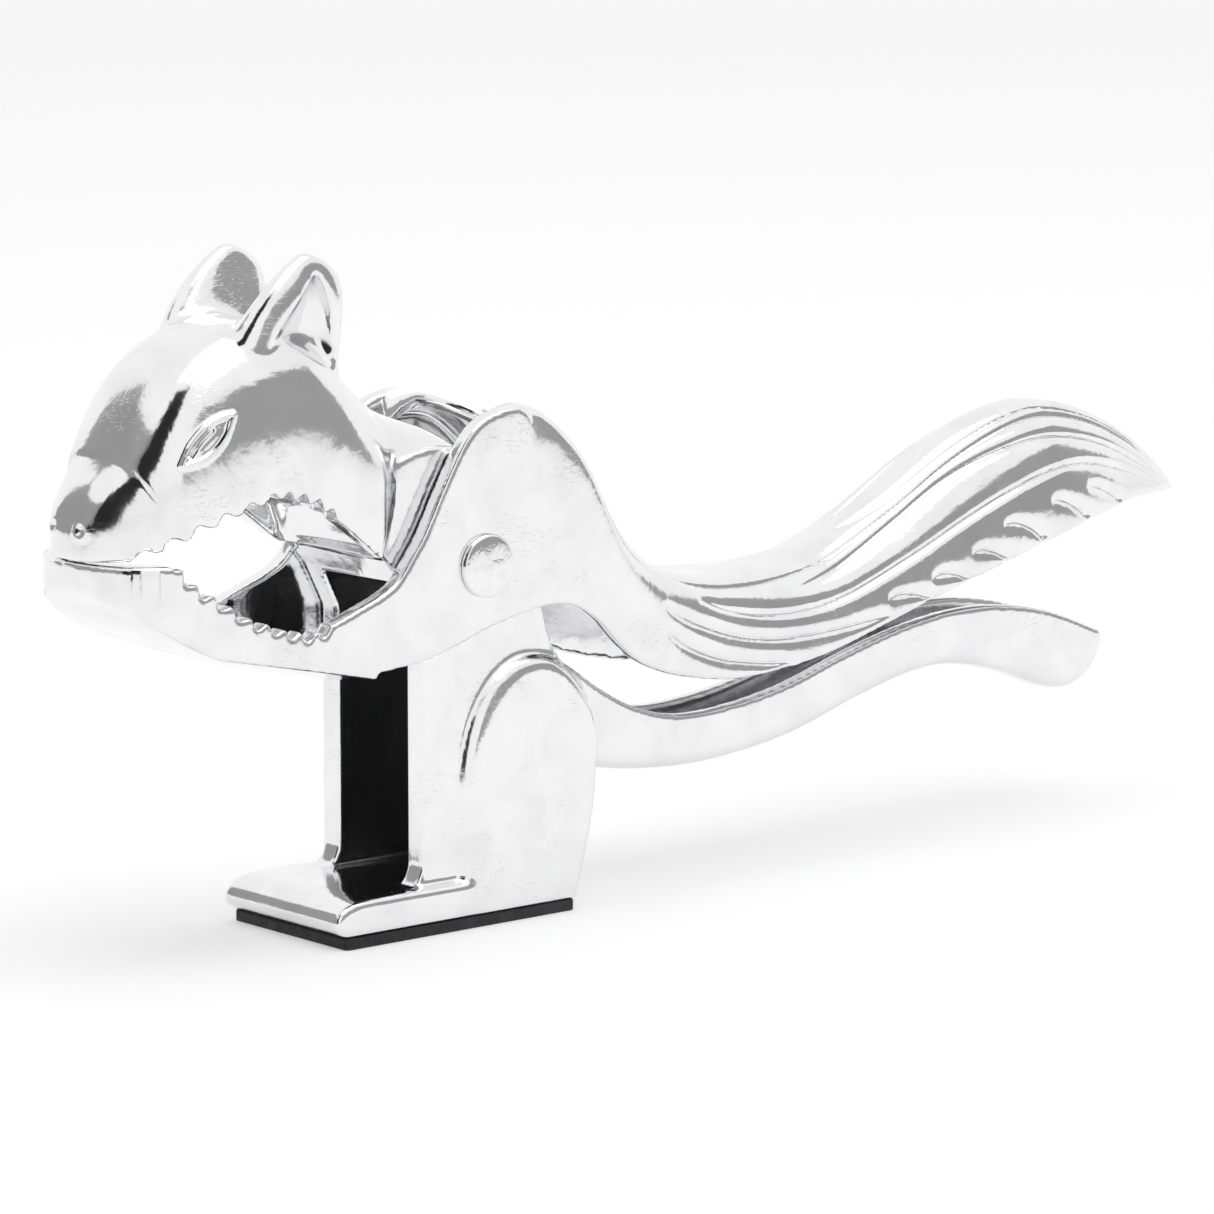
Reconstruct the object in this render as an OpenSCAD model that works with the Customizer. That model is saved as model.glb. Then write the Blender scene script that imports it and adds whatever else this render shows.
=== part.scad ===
// Squirrel nutcracker: a standing body casting and a hinged lever casting.
// +X runs towards the tail, +Z is up, Y = 0 is the plane of symmetry.
// Outlines are side views, [x, z], from the datum: a point between the legs, level with the
// hinge axis and a little ahead of it.

/* [Overall] */
// Height of the hinge axis above the table
hinge_h = 53.1; // [48:0.1:64]
// Hinge axis to the front of the snout
nose_reach = 62.8; // [53:0.1:75]
// Hinge axis to the tip of the tail
tail_reach = 154.7; // [130:0.1:185]
// Hinge axis to the end of the lower handle
grip_reach = 133.7; // [115:0.1:160]

/* [Body casting] */
// Width over the legs and the inner cheeks
body_w = 23.4; // [20:0.1:28]
// Thickness of the leg and cheek walls
body_wall = 3.7; // [3:0.1:4.4]
// Thickness of the head's shell above the mouth
head_wall = 3.6; // [3:0.1:4.2]
// Thickness of the web behind the nut
web_t = 2.6; // [2:0.1:3.4]
// Length of the foot
foot_l = 42.8; // [36:0.1:51]
// Width of the foot, flush with the haunches
foot_w = 27.2; // [25:0.1:29]
// Height of the foot's slab above its pad
foot_t = 5.2; // [4.3:0.1:6.3]
// How far the toes stand out past the pad
toe_out = 1.6; // [1:0.1:2]
// Width of the lower handle
grip_w = 12; // [10:0.1:14.4]
// Wall of the lower handle's channel
grip_wall = 2.3; // [1.8:0.1:3]
// Depth of the lower handle's channel below its rim
grip_depth = 5; // [4:0.1:6]

/* [Ears] */
// Distance between the middles of the ears
ear_pitch = 17; // [15:0.1:18]
// Height of an ear above the crown
ear_h = 9; // [7.5:0.1:10.8]
// Length of an ear from front to back, at its root
ear_l = 15.5; // [13:0.1:18.6]
// Thickness of an ear at its root
ear_t = 7; // [6:0.1:8]

/* [Lever casting] */
// Thickness of the lever's side walls
lever_wall = 2.8; // [2.3:0.1:3.4]
// Thickness of the shoulder and tail shell
tail_wall = 2.5; // [2:0.1:3]
// Thickness of the lower jaw's floor
jaw_floor = 2.8; // [2.3:0.1:3.4]
// Half width of the tail where it is fullest
tail_half_w = 12.5; // [10.4:0.1:15]
// Clearance between lever and body on each side
side_gap = 0.3; // [0.2:0.05:0.5]
// Clearance between the closed lips
lip_gap = 0.3; // [0.2:0.05:0.5]

/* [Teeth] */
// Height of the teeth
tooth_h = 1.4; // [1:0.1:1.7]
// Teeth on each side of the upper jaw
upper_teeth = 9; // [7:1:11]
// Teeth on each side of the lower jaw
lower_teeth = 9; // [7:1:11]

/* [Rivet] */
// Diameter of the rivet's shank
rivet_d = 6; // [5:0.1:7.2]
// Diameter of the rivet's heads
rivet_head_d = 9.2; // [7.8:0.1:11]
// Height of the rivet's heads
rivet_head_h = 1.3; // [1:0.1:1.6]
// Radial clearance of the shank in its holes
rivet_clear = 0.05; // [0.02:0.01:0.1]
// Clearance under each rivet head
head_gap = 0.1; // [0.05:0.05:0.2]

/* [Pad] */
// Thickness of the rubber pad
pad_t = 1.7; // [1.2:0.1:2.1]
// Margin of the casting around the pad
pad_inset = 0.2; // [0:0.1:0.6]

/* [Hidden] */
$fn = 64;
eps = 0.01;
reach_x = 300;
// Places along X from the datum
hinge_x = 1.8;
foot_mid = -1.6;
toe_x = foot_mid - foot_l / 2;
heel_x = foot_mid + foot_l / 2;
nose_end = nose_reach - hinge_x;
tail_end = tail_reach + hinge_x;
grip_end = grip_reach + hinge_x;

cheek_y = body_w / 2;
hollow_y = cheek_y - body_wall;
lever_in_y = cheek_y + side_gap;
lever_out_y = lever_in_y + lever_wall;
foot_top = pad_t + foot_t - hinge_h;
foot_low = pad_t - hinge_h;

// A stretch leaves the part near the hinge alone and scales what lies beyond
mouth_root = -26;
tail_root = 40;
grip_root = 30;
nose_ref = 61;
tail_ref = 156.5;
grip_ref = 135.5;
function nose_x(x) = x > mouth_root ? x
    : mouth_root + (x - mouth_root) * (nose_end + mouth_root) / (nose_ref + mouth_root);
function tail_x(x) = x < tail_root ? x
    : tail_root + (x - tail_root) * (tail_end - tail_root) / (tail_ref - tail_root);
function grip_x(x) = x < grip_root ? x
    : grip_root + (x - grip_root) * (grip_end - grip_root) / (grip_ref - grip_root);
function at_nose(p) = [for (q = p) [nose_x(q.x), q.y]];
function at_tail(p) = [for (q = p) [tail_x(q.x), q.y]];
function at_grip(p) = [for (q = p) [grip_x(q.x), q.y]];

// A smooth line through its points, four short chords between each pair
function bend(a, b, c, d, t) = 0.5 * (2 * b + (c - a) * t + (2 * a - 5 * b + 4 * c - d) * t * t
    + (3 * b - a - 3 * c + d) * t * t * t);
function smooth(p, n = 4) = [
    for (i = [0:len(p) - 2], k = [0:n - 1])
        bend(p[max(i - 1, 0)], p[i], p[i + 1], p[min(i + 2, len(p) - 1)], k / n),
    p[len(p) - 1]
];
function flip(p) = [for (i = [len(p) - 1:-1:0]) p[i]];
function unit(v) = v / norm(v);
function left_of(v) = [-v.y, v.x];

// Point at share s of the way along a line of equally long pieces
function along(p, s) = let (m = len(p) - 1, i = min(floor(s * m), m - 1), t = s * m - i)
    p[i] * (1 - t) + p[i + 1] * t;
// Saw teeth on a line: every second point moves h to the line's left
function teeth(p, n, h) = let (s = smooth(p, 6)) [
    for (i = [0:2 * n]) let (f = i / (2 * n), a = along(s, f), d = along(s, min(f + 0.02, 1))
        - along(s, max(f - 0.02, 0))) a + (i % 2) * h * left_of(unit(d))
];

// Value at x of a smooth line of [x, value] points, by straight pieces
function level(p, x) = x <= p[0].x ? p[0].y : x >= p[len(p) - 1].x ? p[len(p) - 1].y
    : let (i = [for (k = [0:len(p) - 2]) if (x >= p[k].x && x < p[k + 1].x) k][0])
        p[i].y + (p[i + 1].y - p[i].y) * (x - p[i].x) / (p[i + 1].x - p[i].x);

// Head, side view: crown line from snout to neck, and the toothed mouth line
snout_low = 5.2 + lip_gap;
crown = at_nose(smooth([[-60.4, snout_low], [-61, 8], [-60.6, 11.5], [-58.9, 15], [-55.8, 18.4],
    [-53.8, 22.2], [-51, 27], [-47.4, 31.2], [-43, 34.4], [-37.5, 36.6], [-31, 37.2], [-24, 34],
    [-18, 28.6], [-13, 24.6], [-7, 21.4], [0, 19]]));
neck_end = [[5, 16.4], [7.6, 12], [8.6, 8]];
upper_bite = at_nose([[-25.2, 11.1], [-28.3, 12.8], [-31.8, 13.9], [-35.3, 14.1], [-40, 12.8],
    [-45, 11.2], [-50, 9.2], [-54, 7.4]]);
jowl = [[-15.5, 2.2], [-24.8, 9.2]];
head_side = concat(crown, smooth(neck_end), jowl, teeth(upper_bite, upper_teeth, tooth_h),
    at_nose([[-56, snout_low]]));
// Head: half width at the jowl, and the height where the sides start to turn in
head_half = at_nose(smooth([[-61, 2.4], [-60.2, 4.6], [-58, 7], [-54, 9.8], [-48, 12.6], [-38, 14.4],
    [-30, 14.8], [-22, 14.6], [-16, 13.4], [-11, 11.7], [0, 11.7]]));
head_turn = at_nose([[-61, 8], [-56, 9], [-44, 12], [-30, 15], [-14, 13], [0, 8]]);
crown_z = [for (p = crown) if (p.y > 8) p];
head_low = -30;
head_stations = concat([for (x = [-61, -60.4, -59.4, -58, -56, -53.5, -50.5]) nose_x(x)],
    [for (x = [-47:4:5]) nose_x(x)], [12]);
head_n = 18;
function to_lever(p) = [for (q = p) [q.x, q.y * lever_out_y / 14.8]];
function head_ring(x) = let (w = min(level(to_lever(head_half), x), x > -11 ? cheek_y : 100),
    z = level(head_turn, x), h = max(level(crown_z, x) - z, 1)) concat(
    [[x, -w, head_low]],
    [for (i = [0:head_n]) let (t = 180 * i / head_n) [x, -w * cos(t), z + h * sin(t)]],
    [[x, w, head_low]]
);
// The wide part of the head stops here, clear of the lever's swing
recess = smooth([[-15.5, 2.2], [-13.8, 6.7], [-13.2, 11], [-13.4, 15], [-15, 19.5], [-15, 30]]);

// Cheek, web and legs, side view
cheek_top = smooth([[-15, 14], [-9, 16.8], [-3, 17.2], [3, 15.8], [8, 12], [11, 6], [13, 0]]);
web_top = [-17.2, 8.2];
web_low = [-10.8, -1.6];
leg_front = -7.6;
leg_back = smooth([[15, -7.6], [16.2, -12], [18.2, -15.6], [22.2, -19.4], [24, -24.5], [24, -31],
    [23, -40], [heel_x, foot_low]]);
haunch_line = smooth([[-1, foot_top], [-1, -38], [-0.6, -31], [1, -24], [4.2, -18.4], [9.2, -15],
    [14.2, -15], [18.2, -17], [21.8, -20.6], [23.8, -25.6], [24.2, -31], [23, -40],
    [heel_x, foot_low]]);

// Lower handle, side view: rim and underside
grip_rim = at_grip(smooth([[17, -14.2], [24.2, -18], [31, -22.6], [38, -26.2], [46.5, -28.3],
    [57, -28], [68, -26.2], [80, -22.8], [92, -20], [103, -18.6], [113, -18.9], [124, -21], [135.5, -25.4]]));
grip_low = at_grip(smooth([[135.3, -27], [134.8, -30], [131, -34], [125, -33.8], [114, -29.8],
    [104, -27.6], [95, -27.9], [84, -30.4], [70.5, -34.3], [58, -36.2], [46, -36.6], [32, -35], [20, -31]]));

// Lever, side view: lower jaw, walls, shoulder and tail
chin_top = 5.2;
jaw_end = -17.9;
lower_bite = at_nose([[-52.4, 4.6], [-49, 1.2], [-44.6, -1.6], [-40, -4.4], [-35.6, -6.2],
    [-31.4, -7.4], [-27.4, -7.8]]);
wall_front = smooth([[-26, -5.7], [-21.5, -4], [-17.5, -2.6], [-14.2, -0.8], [-11.7, 2.2], [-9.2, 5.6],
    [-6.6, 10.3], [-3.8, 15.1], [-1.6, 18.3], [1.2, 20.8], [4.8, 22], [8.2, 22.4]]);
wall_low = smooth([[8.2, -7.8], [2, -9.4], [-4, -11.4], [-10.3, -13], [jaw_end, -14]]);
keel_z = -14.6;
keel = at_nose(smooth([[jaw_end, keel_z], [-25, -14.3], [-34, -12.4], [-44, -9], [-52, -5],
    [-57, -1.2], [-60, 1], [-60.8, 3], [-60.8, chin_top]]));
jaw_side = concat(teeth(lower_bite, lower_teeth, tooth_h), [[-26, -5.7], [jaw_end, -2.8]], keel,
    at_nose([[-52.4, chin_top]]));
jaw_half = at_nose(smooth([[-60.4, 0], [-59.8, 5], [-58, 9.5], [-55.6, 12], [-52.2, 13.3]]));
jaw_back = [[-40, 14], [-28, 14.6], [-18, 14.8]];
jaw_plan = concat(to_lever(jaw_half), to_lever(at_nose(smooth(jaw_back))), [[reach_x, lever_out_y]]);
hull_r = 45;
keel_slope = atan2(7, 32);

// Tail shell: crest and rim heights, half width and squareness at each station
shell_start = 8.2;
crest = at_tail(smooth([[shell_start, 22.8], [12, 22], [15.5, 20], [19, 16.8], [22.4, 12.4], [26, 6.6],
    [30, 1.8], [35, -2.2], [41, -5.2], [48, -6.8], [56, -7.6], [65, -7.6], [76, -6], [88, -0.8],
    [100, 6], [110, 10.2], [119, 12.4], [127, 12], [136, 9.6], [145, 5.2], [152, 0], [156.5, -4.6]]));
rim = at_tail(smooth([[shell_start, -7.8], [13.7, -7.1], [18.4, -7.6], [23, -10.2], [27, -14],
    [31.5, -17.4], [37, -19.8], [43, -21.4], [51, -22.7], [60.5, -22.6], [72, -20.8], [84.5, -17.4],
    [97, -13.8], [108, -11], [120, -8.2], [132, -6], [144, -4.6], [156.5, -5.2]]));
spread = at_tail(smooth([[shell_start, 14.8], [24, 14.8], [34, 13.8], [46, 12.6], [60, 12], [80, 12.3],
    [104, 12.5], [120, 11.6], [134, 9], [145, 5.8], [152, 3.2], [156.5, 1.2]]));
square_up = at_tail([[shell_start, 14], [20, 14], [30, 7], [50, 4], [80, 2.4], [156.5, 2]]);
stations = concat([for (x = [shell_start:2.4:34]) x], [for (k = [1:26]) 34 + k * (tail_end - 34.4) / 26]);
arc_n = 14;
tail_share = tail_half_w / 12.5;
function half_at(x) = x < 24 ? lever_out_y : let (s = level(spread, x), f = min((x - 24) / 36, 1))
    s * ((1 - f) * lever_out_y / 14.8 + f * tail_share);
function arch(x, cut, lift) = let (w = max(half_at(x) - cut, 0.3), b = level(rim, x),
    h = max(level(crest, x) - cut * 1.02 - b, 0.3), e = 2 / level(square_up, x)) [
    for (i = [0:arc_n]) let (a = 180 * i / arc_n, c = cos(a), s = sin(a))
        [x, -w * sign(c) * pow(abs(c), e), b + h * pow(abs(s), e) - lift * (i == 0 || i == arc_n ? 1 : 0)]
];
slot_x = 4.7;

// A solid between y0 and y1 from a side view outline
module plate(outline, y0, y1)
    translate([0, y1, 0])
        rotate([90, 0, 0])
            linear_extrude(y1 - y0)
                polygon(outline);

// A solid from z0 to z1 from half of a plan outline
module plan(half, z0, z1)
    translate([0, 0, z0])
        linear_extrude(z1 - z0)
            polygon(concat(half, flip([for (p = half) [p.x, -p.y]])));

module on_both_sides() {
    children();
    mirror([0, 1, 0])
        children();
}

module cross_pin(r, half)
    translate([hinge_x, 0, 0])
        rotate([90, 0, 0])
            cylinder(r = r, h = 2 * half, center = true);

// Arched stations joined into a closed shell. Each ring holds the outer arch and then the
// inner one backwards, so both end faces are strips of quads between the two.
module loft(rings) {
    n = len(rings[0]);
    m = len(rings);
    last = (m - 1) * n;
    polyhedron(
        points = [for (r = rings) each r],
        faces = concat(
            [for (j = [0:m - 2], i = [0:n - 1]) [j * n + i, j * n + (i + 1) % n,
                (j + 1) * n + (i + 1) % n, (j + 1) * n + i]],
            [for (i = [0:n / 2 - 2]) [n - 1 - i, n - 2 - i, i + 1, i]],
            [for (i = [0:n / 2 - 2]) [last + i, last + i + 1, last + n - 2 - i, last + n - 1 - i]]
        )
    );
}

// Rings that are convex, joined into a closed solid
module barrel(rings) {
    n = len(rings[0]);
    m = len(rings);
    polyhedron(
        points = [for (r = rings) each r],
        faces = concat(
            [for (j = [0:m - 2], i = [0:n - 1]) [j * n + i, j * n + (i + 1) % n,
                (j + 1) * n + (i + 1) % n, (j + 1) * n + i]],
            [[for (i = [n - 1:-1:0]) i]],
            [[for (i = [0:n - 1]) (m - 1) * n + i]]
        )
    );
}

// Closed snout, crown and neck before the mouth is cored out
module head_solid()
    intersection() {
        plate(head_side, -lever_out_y, lever_out_y);
        barrel([for (x = head_stations) head_ring(x)]);
    }

// The room above the nut, open downwards
module mouth_core()
    plate(at_nose(concat(smooth([[-52, 3], [-49, 10.4], [-43, 15.4], [-36, 17.6], [-29, 16.8], [-24, 13.4]]),
        [[-17.2, 8.2], [-12, -6], [-40, -6]])), -lever_out_y + head_wall, lever_out_y - head_wall);

module ear() {
    root_z = 28;
    tip_z = 37.2 + ear_h - 3;
    translate([-27, ear_pitch / 2, 0])
        difference() {
            hull() {
                translate([-1.6, -0.5, root_z])
                    rotate([0, 0, 8])
                        cube([ear_l, ear_t, 1], center = true);
                translate([2.6, 1.4, tip_z])
                    rotate([90, 0, 20])
                        cylinder(r = 3, h = 2.6, center = true, $fn = 32);
            }
            hull() {
                translate([-1, 5, root_z + 3.4])
                    sphere(r = 3.2, $fn = 24);
                translate([2.4, 4.6, tip_z - 1.8])
                    sphere(r = 1.6, $fn = 24);
            }
        }
}

module cheeks()
    difference() {
        plate(concat([[leg_front, foot_low], [leg_front, -8], [-10.8, -1.6], [-16, 4]],
            cheek_top, leg_back), -cheek_y, cheek_y);
        // Room between the cheeks above the web, and between the legs below it
        plate([[-9.4, 3.4], [-13.2, 9.6], [-10, 16], [0, 14.6], [5, 12], [6.4, 6], [5, 0]],
            -hollow_y, hollow_y);
        plate([[leg_front - 4, foot_top], [leg_front - 4, -1.6], [web_low.x + web_t, -2.4], [8, -4],
            [11.4, -8], [12.6, -12], [16, -17], [19.6, -22], [20.4, -30], [19.6, foot_top]],
            -hollow_y, hollow_y);
    }

module web()
    plate([web_top, web_low, web_low + [web_t, 0.8], [-10.4, 8], web_top + [3.4, 5]],
        -hollow_y - eps, hollow_y + eps);

module foot()
    plate(concat(smooth([[toe_x, foot_low], [toe_x - toe_out, foot_low + 1.6],
        [toe_x - toe_out + 0.4, foot_low + 3.2], [toe_x + 0.8, foot_top - 0.4],
        [toe_x + 4, foot_top]]), [[heel_x - 1, foot_top], [heel_x, foot_low]]),
        -foot_w / 2, foot_w / 2);

module haunch()
    plate(haunch_line, cheek_y - 1, foot_w / 2);

module lower_handle()
    difference() {
        plate(concat(grip_rim, grip_low), -grip_w / 2, grip_w / 2);
        plate(concat(
            at_grip(smooth([[26, -12], [40, -18], [60, -20], [135.5 - grip_wall, -14]])),
            [for (p = flip(grip_rim)) if (p.x > 26 && p.x < grip_end - grip_wall) [p.x, p.y - grip_depth]]),
            -grip_w / 2 + grip_wall, grip_w / 2 - grip_wall);
    }

module body_casting()
    color("gainsboro")
        translate([-foot_mid, 0, hinge_h])
            difference() {
                union() {
                    difference() {
                        head_solid();
                        mouth_core();
                        on_both_sides()
                            plate(concat(recess, [[40, 30], [40, 2]]), cheek_y, lever_out_y + 1);
                        plate([[-17, 2], [-8, 3], [-8, 18.6], [12, 12], [12, -5], [-17, -5]],
                            -hollow_y, hollow_y);
                    }
                    on_both_sides()
                        ear();
                    cheeks();
                    web();
                    foot();
                    on_both_sides()
                        haunch();
                    lower_handle();
                }
                cross_pin(rivet_d / 2 + rivet_clear, lever_out_y);
            }

module lower_jaw() {
    lift = [0, keel_slope, 0];
    difference() {
        intersection() {
            plate(jaw_side, -lever_out_y, lever_out_y);
            plan(jaw_plan, -60, 60);
            translate([jaw_end, 0, keel_z + hull_r])
                rotate(lift)
                    rotate([0, 90, 0])
                        cylinder(r = hull_r, h = 200, center = true, $fn = 128);
        }
        // The trough that takes the nut
        intersection() {
            translate([jaw_end, 0, keel_z + hull_r])
                rotate(lift)
                    rotate([0, 90, 0])
                        cylinder(r = hull_r - jaw_floor, h = 200, center = true, $fn = 128);
            plan([for (p = jaw_plan) [p.x + lever_wall * 1.1, max(p.y - lever_wall, 0)]], -60, 60);
            plate([for (p = keel) [p.x, p.y + jaw_floor]], -60, 60);
        }
    }
}

module lever_casting()
    color("silver")
        translate([-foot_mid, 0, hinge_h])
            difference() {
                union() {
                    lower_jaw();
                    on_both_sides()
                        plate(concat([[jaw_end, -2.8]], [for (p = wall_front) if (p.x > jaw_end) p],
                            wall_low), lever_in_y, lever_out_y);
                    loft([for (x = stations) concat(arch(x, 0, 0), flip(arch(x, tail_wall, 0)))]);
                }
                // Slot over the neck, round at its rear end
                translate([slot_x, 0, 0])
                    cylinder(r = lever_in_y, h = 60);
                cross_pin(rivet_d / 2 + rivet_clear, lever_out_y + 1);
            }

// One head's outline, [radius, height]
head_arc = [for (a = [0:10:90]) [rivet_head_d / 2 * sin(a), 0.3 + (rivet_head_h - 0.3) * cos(a)]];

module pivot_rivet()
    color("lightgray")
        translate([-foot_mid, 0, hinge_h])
            union() {
                cross_pin(rivet_d / 2, lever_out_y + head_gap + 0.2);
                on_both_sides()
                    translate([hinge_x, lever_out_y + head_gap, 0])
                        rotate([-90, 0, 0])
                            rotate_extrude()
                                polygon(concat([[0, 0]], head_arc, [[rivet_head_d / 2, 0]]));
            }

module foot_pad()
    color("black")
        translate([-foot_l / 2 + pad_inset, -foot_w / 2 + pad_inset, 0])
            cube([foot_l - 2 * pad_inset, foot_w - 2 * pad_inset, pad_t]);

body_casting();
lever_casting();
pivot_rivet();
foot_pad();
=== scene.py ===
import bpy
import bmesh
import math
import numpy as np
from mathutils import Matrix, Vector
from mathutils.bvhtree import BVHTree


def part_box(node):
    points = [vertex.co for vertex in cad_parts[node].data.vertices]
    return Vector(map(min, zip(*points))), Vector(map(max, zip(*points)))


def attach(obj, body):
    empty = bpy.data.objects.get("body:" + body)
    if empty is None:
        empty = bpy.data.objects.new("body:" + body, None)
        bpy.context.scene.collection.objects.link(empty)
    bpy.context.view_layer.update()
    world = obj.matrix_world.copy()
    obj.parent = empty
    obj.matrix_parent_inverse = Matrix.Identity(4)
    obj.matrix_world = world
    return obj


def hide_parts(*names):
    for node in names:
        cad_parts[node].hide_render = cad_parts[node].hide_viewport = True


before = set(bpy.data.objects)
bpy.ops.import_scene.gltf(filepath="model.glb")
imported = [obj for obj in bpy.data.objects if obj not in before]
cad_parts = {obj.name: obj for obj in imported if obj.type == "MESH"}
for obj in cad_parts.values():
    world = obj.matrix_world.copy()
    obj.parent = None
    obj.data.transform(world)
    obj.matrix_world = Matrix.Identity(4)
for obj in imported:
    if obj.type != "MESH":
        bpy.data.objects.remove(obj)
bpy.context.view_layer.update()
print("frame loaded")

# The castings are drawn in millimetres from the datum between the legs, level with the hinge
rivetLow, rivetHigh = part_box("pivot_rivet")
padLow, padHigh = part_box("foot_pad")
hinge = (rivetLow + rivetHigh) / 2
datum = Vector((hinge.x - 0.0018, 0, hinge.z))
hingeX = (hinge.x - datum.x) * 1000
footLow = (padHigh.z - datum.z) * 1000
toMetres = Matrix.Translation(datum) @ Matrix.Scale(0.001, 4)

common = {
    "cheekY": 11.7,       # half width over the legs and inner cheeks
    "hollowY": 8.0,       # half width between them
    "leverInY": 12.0,
    "leverOutY": 14.8,
    "grain": 0.44,        # cell size the castings are worked at
    "mostTriangles": 192000,
}


def smoothLine(points, steps=8):
    line = []
    count = len(points)
    for i in range(count - 1):
        a, b = points[max(i - 1, 0)], points[i]
        c, d = points[i + 1], points[min(i + 2, count - 1)]
        for k in range(steps):
            t = k / steps
            line.append([0.5 * (2 * q + (r - p) * t + (2 * p - 5 * q + 4 * r - s) * t * t
                         + (3 * q - p - 3 * r + s) * t ** 3) for p, q, r, s in zip(a, b, c, d)])
    line.append(list(points[-1]))
    return line


def reading(points, steps=10):
    # value of a smooth line at any x
    line = sorted(smoothLine(points, steps))
    xs, ys = [p[0] for p in line], [p[1] for p in line]
    return lambda x: np.interp(x, xs, ys)


def teethLine(points, count, height):
    line = np.array(smoothLine(points, 12))
    share = np.linspace(0, len(line) - 1, 8 * count + 1)
    at = np.stack([np.interp(share, range(len(line)), line[:, k]) for k in (0, 1)], 1)
    along = np.gradient(at, axis=0)
    along /= np.linalg.norm(along, axis=1)[:, None]
    lift = height * (0.5 - 0.5 * np.cos(np.linspace(0, 2 * math.pi * count, 8 * count + 1))) ** 0.8
    return (at + np.stack([-along[:, 1], along[:, 0]], 1) * lift[:, None]).tolist()


def plate(outline, low, high, rounding=0, segments=3):
    # side view outline, given thickness along Y
    bm = bmesh.new()
    face = bm.faces.new([bm.verts.new((x, low, z)) for x, z in outline])
    pushed = bmesh.ops.extrude_face_region(bm, geom=[face])["geom"]
    bmesh.ops.translate(bm, vec=(0, high - low, 0),
                        verts=[v for v in pushed if isinstance(v, bmesh.types.BMVert)])
    if rounding:
        rims = [e for e in bm.edges if abs(e.verts[0].co.y - e.verts[1].co.y) < 1e-6]
        bmesh.ops.bevel(bm, geom=rims, offset=rounding, segments=segments, profile=0.5,
                        affect="EDGES", material=-1, clamp_overlap=True)
    bmesh.ops.recalc_face_normals(bm, faces=bm.faces)
    return bm


def slab(outline, low, high):
    # plan outline of one half, given height along Z
    bm = bmesh.new()
    whole = outline + [[x, -y] for x, y in reversed(outline) if abs(y) > 1e-6]
    face = bm.faces.new([bm.verts.new((x, y, low)) for x, y in whole])
    pushed = bmesh.ops.extrude_face_region(bm, geom=[face])["geom"]
    bmesh.ops.translate(bm, vec=(0, 0, high - low),
                        verts=[v for v in pushed if isinstance(v, bmesh.types.BMVert)])
    bmesh.ops.recalc_face_normals(bm, faces=bm.faces)
    return bm


def sweep(shape, around, along):
    # a grid rolled into a closed skin: shape(u, v) gives the point, u round the ring, v along
    bm = bmesh.new()
    bmesh.ops.create_grid(bm, x_segments=around, y_segments=along, size=1)
    for v in bm.verts:
        v.co = shape((v.co.x + 1) / 2, (v.co.y + 1) / 2)
    bmesh.ops.remove_doubles(bm, verts=bm.verts, dist=1e-4)
    bmesh.ops.holes_fill(bm, edges=[e for e in bm.edges if e.is_boundary], sides=0)
    bmesh.ops.recalc_face_normals(bm, faces=bm.faces)
    return bm


def pin(radius, half, place, turn, segments=64):
    bm = bmesh.new()
    bmesh.ops.create_cone(bm, cap_ends=True, segments=segments, radius1=radius, radius2=radius,
                          depth=2 * half, matrix=Matrix.Translation(place) @ turn)
    return bm


def asObject(bm, name):
    mesh = bpy.data.meshes.new(name)
    bm.to_mesh(mesh)
    bm.free()
    obj = bpy.data.objects.new(name, mesh)
    bpy.context.scene.collection.objects.link(obj)
    return obj


def bake(obj, kind, **settings):
    modifier = obj.modifiers.new(kind.lower(), kind)
    for key, value in settings.items():
        setattr(modifier, key, value)
    graph = bpy.context.evaluated_depsgraph_get()
    graph.update()
    made = bpy.data.meshes.new_from_object(obj.evaluated_get(graph))
    obj.modifiers.clear()
    old = obj.data
    obj.data = made
    bpy.data.meshes.remove(old)
    return obj


def gather(name, *parts):
    # one mesh from several overlapping closed shapes
    bm = bmesh.new()
    for part in parts:
        if isinstance(part, bpy.types.Object):
            bm.from_mesh(part.data)
            bpy.data.objects.remove(part)
        else:
            spare = bpy.data.meshes.new("spare")
            part.to_mesh(spare)
            part.free()
            bm.from_mesh(spare)
            bpy.data.meshes.remove(spare)
    return asObject(bm, name)


def cut(obj, tool, operation="DIFFERENCE"):
    cutter = tool if isinstance(tool, bpy.types.Object) else asObject(tool, "cutter")
    bake(obj, "BOOLEAN", operation=operation, object=cutter, solver="EXACT")
    bpy.data.objects.remove(cutter)
    return obj


def mirrored(bm):
    both = bmesh.ops.duplicate(bm, geom=bm.verts[:] + bm.edges[:] + bm.faces[:])["geom"]
    verts = [v for v in both if isinstance(v, bmesh.types.BMVert)]
    bmesh.ops.scale(bm, vec=(1, -1, 1), verts=verts)
    bmesh.ops.reverse_faces(bm, faces=[f for f in both if isinstance(f, bmesh.types.BMFace)])
    return bm


def melt(obj, cell, softening):
    # casts overlapping shapes into one skin with small fillets
    bake(obj, "REMESH", mode="VOXEL", voxel_size=cell, use_smooth_shade=True)
    if softening:
        bake(obj, "SMOOTH", factor=0.5, iterations=softening)
    return obj


def coords(mesh):
    co = np.empty(len(mesh.vertices) * 3)
    mesh.vertices.foreach_get("co", co)
    return co.reshape(-1, 3)


def toLine(points, line):
    # distance from each point to a line of points, and how far along it that is
    line = np.array(line, float)
    best = np.full(len(points), 1e9)
    share = np.zeros(len(points))
    lengths = np.linalg.norm(np.diff(line, axis=0), axis=1)
    before = np.concatenate([[0], np.cumsum(lengths)])
    for i, (a, b) in enumerate(zip(line, line[1:])):
        ab = b - a
        t = np.clip(((points - a) @ ab) / max(ab @ ab, 1e-12), 0, 1)
        gap = np.linalg.norm(points - a - t[:, None] * ab, axis=1)
        nearer = gap < best
        best[nearer] = gap[nearer]
        share[nearer] = (before[i] + t[nearer] * lengths[i]) / before[-1]
    return best, share


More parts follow.
